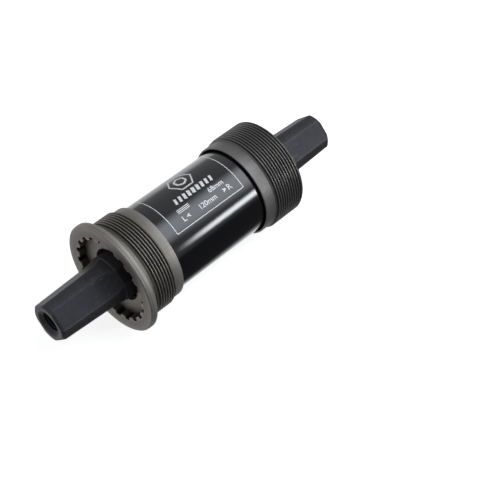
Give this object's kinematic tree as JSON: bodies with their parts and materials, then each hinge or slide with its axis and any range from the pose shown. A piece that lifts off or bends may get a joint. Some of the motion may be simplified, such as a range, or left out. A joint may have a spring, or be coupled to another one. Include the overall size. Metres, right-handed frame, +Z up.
{
  "type": "bottom bracket",
  "caption": "Square-taper cartridge bottom bracket: a spindle on sealed ball bearings in a steel shell, with a flanged and a plain threaded cup.",
  "frame": {"origin": "middle of the spindle, on its axis", "axes": "+Y along the axis from the left side to the drive side, +Z up"},
  "size_m": [0.0396, 0.12, 0.0396],
  "materials": {
    "gloss_black": "gloss black paint with a white printed label",
    "left_cup_grey": "satin warm grey, fine turned lines",
    "right_cup_grey": "satin dark grey, fine turned lines",
    "black_oxide": "matt black oxide with light scuffs",
    "plain_steel": "drawn tube",
    "bearing_steel": "ground",
    "ball_steel": "polished",
    "cage_steel": "pressed",
    "seal_rubber": "smooth"
  },
  "bodies": {
    "cartridge": {"cartridge_shell": "gloss_black", "race_spacer": "plain_steel", "right_cup": "right_cup_grey", "left_outer_race": "bearing_steel", "left_outer_seal": "seal_rubber", "left_inner_seal": "seal_rubber", "right_outer_race": "bearing_steel", "right_outer_seal": "seal_rubber", "right_inner_seal": "seal_rubber"},
    "spindle": {"spindle": "black_oxide", "left_inner_race": "bearing_steel", "right_inner_race": "bearing_steel"},
    "left_ball_set": {"left_cage": "cage_steel", "left_ball_01": "ball_steel", "left_ball_02": "ball_steel", "left_ball_03": "ball_steel", "left_ball_04": "ball_steel", "left_ball_05": "ball_steel", "left_ball_06": "ball_steel", "left_ball_07": "ball_steel", "left_ball_08": "ball_steel", "left_ball_09": "ball_steel", "left_ball_10": "ball_steel", "left_ball_11": "ball_steel", "left_ball_12": "ball_steel"},
    "right_ball_set": {"right_cage": "cage_steel", "right_ball_01": "ball_steel", "right_ball_02": "ball_steel", "right_ball_03": "ball_steel", "right_ball_04": "ball_steel", "right_ball_05": "ball_steel", "right_ball_06": "ball_steel", "right_ball_07": "ball_steel", "right_ball_08": "ball_steel", "right_ball_09": "ball_steel", "right_ball_10": "ball_steel", "right_ball_11": "ball_steel", "right_ball_12": "ball_steel"},
    "left_cup": {"left_cup": "left_cup_grey"}
  },
  "joints": [
    {"name": "spindle_spin", "type": "hinge", "parent": "cartridge", "child": "spindle", "pos_m": [0, 0, 0], "axis": [0, 1, 0], "continuous": true},
    {"name": "left_ball_orbit", "type": "hinge", "parent": "cartridge", "child": "left_ball_set", "pos_m": [0, -0.02605, 0], "axis": [0, 1, 0], "continuous": true},
    {"name": "right_ball_orbit", "type": "hinge", "parent": "cartridge", "child": "right_ball_set", "pos_m": [0, 0.02695, 0], "axis": [0, 1, 0], "continuous": true},
    {"name": "left_cup_slide", "type": "slide", "parent": "cartridge", "child": "left_cup", "axis": [0, -1, 0], "range_m": [0, 0.045]}
  ],
  "couplings": [
    {"joint": "left_ball_orbit", "follows": "spindle_spin", "ratio": 0.42944},
    {"joint": "right_ball_orbit", "follows": "spindle_spin", "ratio": 0.42944}
  ]
}
